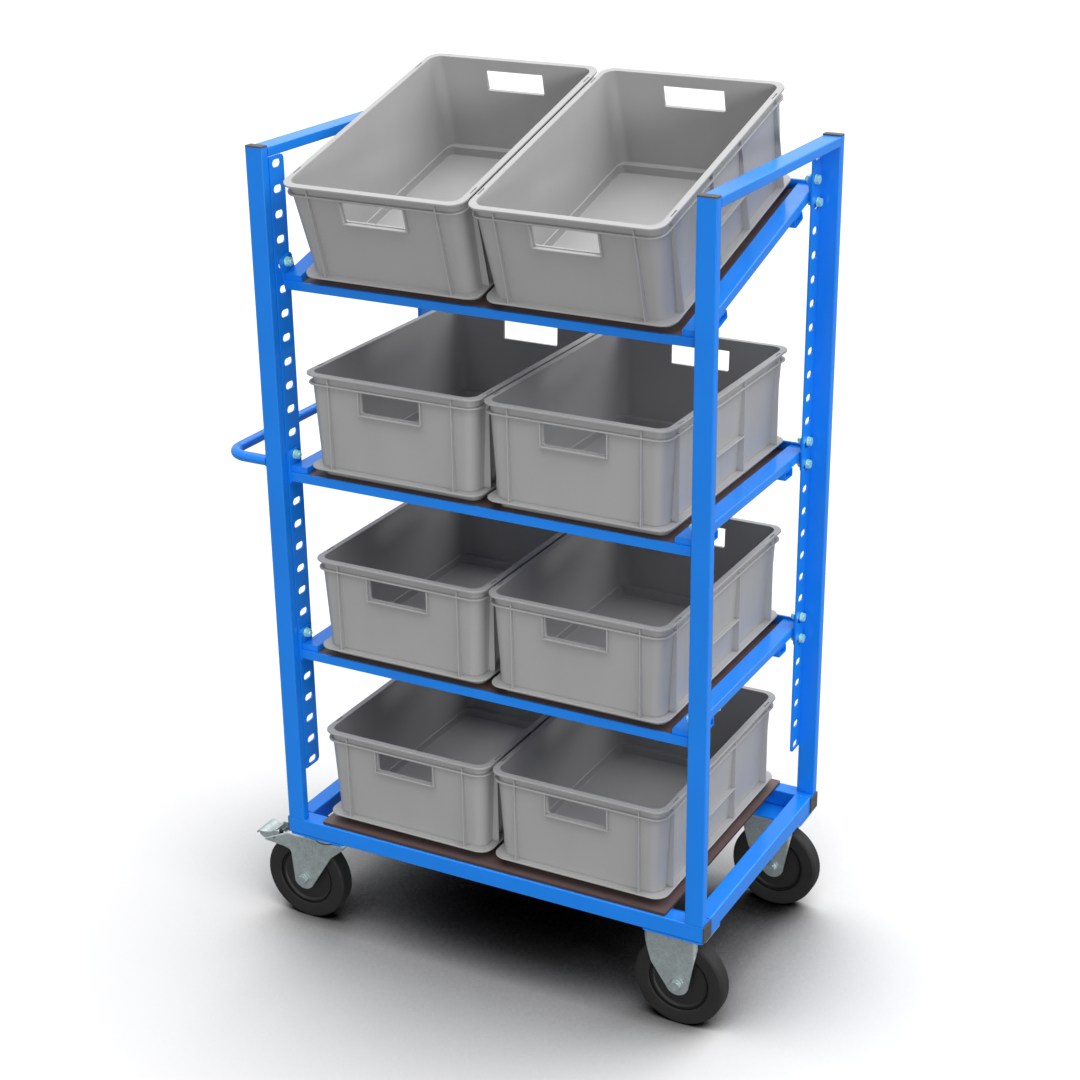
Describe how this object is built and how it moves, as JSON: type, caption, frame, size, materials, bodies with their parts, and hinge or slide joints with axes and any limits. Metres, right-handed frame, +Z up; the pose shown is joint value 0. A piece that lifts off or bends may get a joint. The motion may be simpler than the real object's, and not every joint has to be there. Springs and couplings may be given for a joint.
{
  "type": "order picking trolley",
  "caption": "Tall tube-frame picking trolley on casters with slotted uprights, adjustable shelves, a tilted top shelf, a side push handle and open stacking bins.",
  "frame": {"origin": "on the floor, in the middle of the trolley's outline", "axes": "+Z up, X along the trolley with the push handle at -X, -Y the picking side, towards which the top shelf tilts"},
  "size_m": [1.138, 0.6514, 1.8453],
  "materials": {
    "blue_paint": "semi-gloss blue powder coat",
    "plywood": "dark brown phenolic film on plywood",
    "bin_plastic": "grey moulded polypropylene",
    "zinc": "bright zinc plate",
    "rubber": "matt black solid rubber",
    "hub_plastic": "black moulded plastic",
    "cap_plastic": "dark grey moulded plastic"
  },
  "bodies": {
    "trolley_frame": {"base_deck": "plywood", "base_front_rail": "blue_paint", "base_left_crossmember": "blue_paint", "base_left_rail": "blue_paint", "base_rear_rail": "blue_paint", "base_right_crossmember": "blue_paint", "base_right_rail": "blue_paint", "fixed_caster_front_axle": "zinc", "fixed_caster_front_fork": "zinc", "fixed_caster_rear_axle": "zinc", "fixed_caster_rear_fork": "zinc", "lower_shelf_board": "plywood", "lower_shelf_frame": "blue_paint", "middle_shelf_board": "plywood", "middle_shelf_frame": "blue_paint", "post_cap_front_left": "cap_plastic", "post_cap_front_right": "cap_plastic", "post_cap_rear_left": "cap_plastic", "post_cap_rear_right": "cap_plastic", "post_front_left": "blue_paint", "post_front_right": "blue_paint", "post_rear_left": "blue_paint", "post_rear_right": "blue_paint", "push_handle": "blue_paint", "rail_cap_front_left": "cap_plastic", "rail_cap_front_right": "cap_plastic", "rail_cap_rear_left": "cap_plastic", "rail_cap_rear_right": "cap_plastic", "slotted_strip_front_left": "blue_paint", "slotted_strip_front_right": "blue_paint", "slotted_strip_rear_left": "blue_paint", "slotted_strip_rear_right": "blue_paint", "swivel_caster_front_plate": "zinc", "swivel_caster_rear_plate": "zinc", "top_bar_left": "blue_paint", "top_bar_right": "blue_paint", "top_shelf_board": "plywood", "top_shelf_frame": "blue_paint"},
    "swivel_caster_front": {"swivel_caster_front_fork": "zinc", "swivel_caster_front_axle": "zinc"},
    "swivel_wheel_front": {"swivel_caster_front_tyre": "rubber", "swivel_caster_front_hub": "hub_plastic"},
    "brake_pedal_front": {"swivel_caster_front_pedal": "zinc"},
    "fixed_wheel_front": {"fixed_caster_front_tyre": "rubber", "fixed_caster_front_hub": "hub_plastic"},
    "swivel_caster_rear": {"swivel_caster_rear_fork": "zinc", "swivel_caster_rear_axle": "zinc"},
    "swivel_wheel_rear": {"swivel_caster_rear_tyre": "rubber", "swivel_caster_rear_hub": "hub_plastic"},
    "brake_pedal_rear": {"swivel_caster_rear_pedal": "zinc"},
    "fixed_wheel_rear": {"fixed_caster_rear_tyre": "rubber", "fixed_caster_rear_hub": "hub_plastic"},
    "base_bin_left": {"base_bin_left": "bin_plastic"},
    "base_bin_right": {"base_bin_right": "bin_plastic"},
    "lower_bin_left": {"lower_bin_left": "bin_plastic"},
    "lower_bin_right": {"lower_bin_right": "bin_plastic"},
    "middle_bin_left": {"middle_bin_left": "bin_plastic"},
    "middle_bin_right": {"middle_bin_right": "bin_plastic"},
    "top_bin_left": {"top_bin_left": "bin_plastic"},
    "top_bin_right": {"top_bin_right": "bin_plastic"}
  },
  "joints": [
    {"name": "front_caster_swivel", "type": "hinge", "parent": "trolley_frame", "child": "swivel_caster_front", "pos_m": [-0.384, -0.24131, 0.207], "axis": [0, 0, 1], "continuous": true},
    {"name": "front_swivel_wheel_spin", "type": "hinge", "parent": "swivel_caster_front", "child": "swivel_wheel_front", "pos_m": [-0.444, -0.24131, 0.1], "axis": [0, 1, 0], "continuous": true},
    {"name": "front_brake_press", "type": "hinge", "parent": "swivel_caster_front", "child": "brake_pedal_front", "pos_m": [-0.519, -0.24131, 0.185], "axis": [0, -1, 0], "range_deg": [0, 15]},
    {"name": "front_fixed_wheel_spin", "type": "hinge", "parent": "trolley_frame", "child": "fixed_wheel_front", "pos_m": [0.469, -0.24131, 0.1], "axis": [0, 1, 0], "continuous": true},
    {"name": "rear_caster_swivel", "type": "hinge", "parent": "trolley_frame", "child": "swivel_caster_rear", "pos_m": [-0.384, 0.27069, 0.207], "axis": [0, 0, 1], "continuous": true},
    {"name": "rear_swivel_wheel_spin", "type": "hinge", "parent": "swivel_caster_rear", "child": "swivel_wheel_rear", "pos_m": [-0.444, 0.27069, 0.1], "axis": [0, 1, 0], "continuous": true},
    {"name": "rear_brake_press", "type": "hinge", "parent": "swivel_caster_rear", "child": "brake_pedal_rear", "pos_m": [-0.519, 0.27069, 0.185], "axis": [0, -1, 0], "range_deg": [0, 15]},
    {"name": "rear_fixed_wheel_spin", "type": "hinge", "parent": "trolley_frame", "child": "fixed_wheel_rear", "pos_m": [0.469, 0.27069, 0.1], "axis": [0, 1, 0], "continuous": true},
    {"name": "base_bin_left_pull", "type": "slide", "parent": "trolley_frame", "child": "base_bin_left", "axis": [0, -1, 0], "range_m": [0, 0.5]},
    {"name": "base_bin_right_pull", "type": "slide", "parent": "trolley_frame", "child": "base_bin_right", "axis": [0, -1, 0], "range_m": [0, 0.5]},
    {"name": "lower_bin_left_pull", "type": "slide", "parent": "trolley_frame", "child": "lower_bin_left", "axis": [0, -1, 0], "range_m": [0, 0.5]},
    {"name": "lower_bin_right_pull", "type": "slide", "parent": "trolley_frame", "child": "lower_bin_right", "axis": [0, -1, 0], "range_m": [0, 0.5]},
    {"name": "middle_bin_left_pull", "type": "slide", "parent": "trolley_frame", "child": "middle_bin_left", "axis": [0, -1, 0], "range_m": [0, 0.5]},
    {"name": "middle_bin_right_pull", "type": "slide", "parent": "trolley_frame", "child": "middle_bin_right", "axis": [0, -1, 0], "range_m": [0, 0.5]},
    {"name": "top_bin_left_pull", "type": "slide", "parent": "trolley_frame", "child": "top_bin_left", "axis": [0, -0.9606, -0.2778], "range_m": [0, 0.5]},
    {"name": "top_bin_right_pull", "type": "slide", "parent": "trolley_frame", "child": "top_bin_right", "axis": [0, -0.9606, -0.2778], "range_m": [0, 0.5]}
  ]
}
